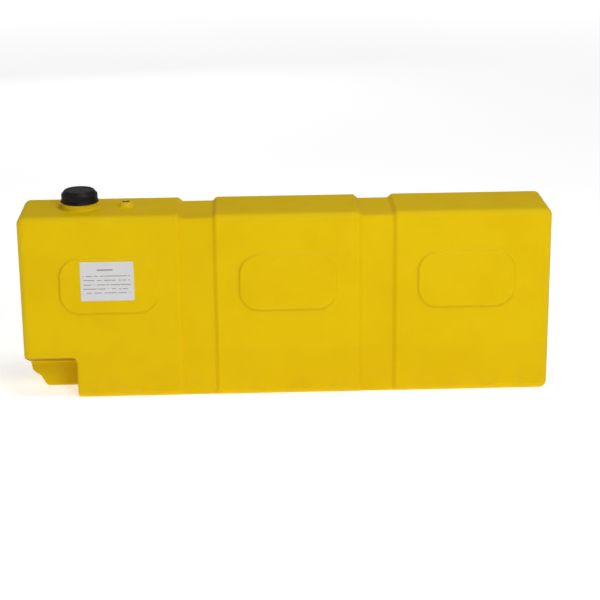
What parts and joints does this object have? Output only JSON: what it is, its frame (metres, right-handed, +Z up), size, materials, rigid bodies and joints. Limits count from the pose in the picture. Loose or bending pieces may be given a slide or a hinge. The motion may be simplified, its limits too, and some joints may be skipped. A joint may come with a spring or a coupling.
{
  "type": "upright liquid tank",
  "caption": "Slim upright moulded plastic liquid tank, usable as a water-filled barrier or ballast unit, with screw filler cap, breather, outlet and strap channels.",
  "frame": {"origin": "centre of the tank's footprint, on the surface that it stands on", "axes": "+Z up, +X along the tank to the right as seen from the front, front face and label towards -Y"},
  "size_m": [1, 0.1592, 0.393],
  "materials": {
    "tank_plastic": "rotomoulded polyethylene, satin, faint orange peel",
    "black_plastic": "black moulded polypropylene, satin",
    "seal_rubber": "black nitrile rubber",
    "brass": "machined brass, slightly tarnished",
    "label_sheet": "white vinyl sticker with grey bars"
  },
  "bodies": {
    "tank": {"tank_shell": "tank_plastic", "filler_neck": "black_plastic", "breather_insert": "brass", "outlet_insert": "brass", "label": "label_sheet"},
    "cap_seal": {"cap_seal": "seal_rubber"},
    "filler_cap": {"filler_cap": "black_plastic"}
  },
  "joints": [
    {"name": "cap_rise", "type": "slide", "parent": "tank", "child": "cap_seal", "axis": [0, 0, 1], "range_m": [0, 0.0201]},
    {"name": "cap_turn", "type": "hinge", "parent": "cap_seal", "child": "filler_cap", "pos_m": [-0.387, 0, 0.38], "axis": [0, 0, 1], "range_deg": [0, 1440]}
  ],
  "couplings": [
    {"joint": "cap_rise", "follows": "cap_turn", "m_per_rad": 0.00079577}
  ]
}
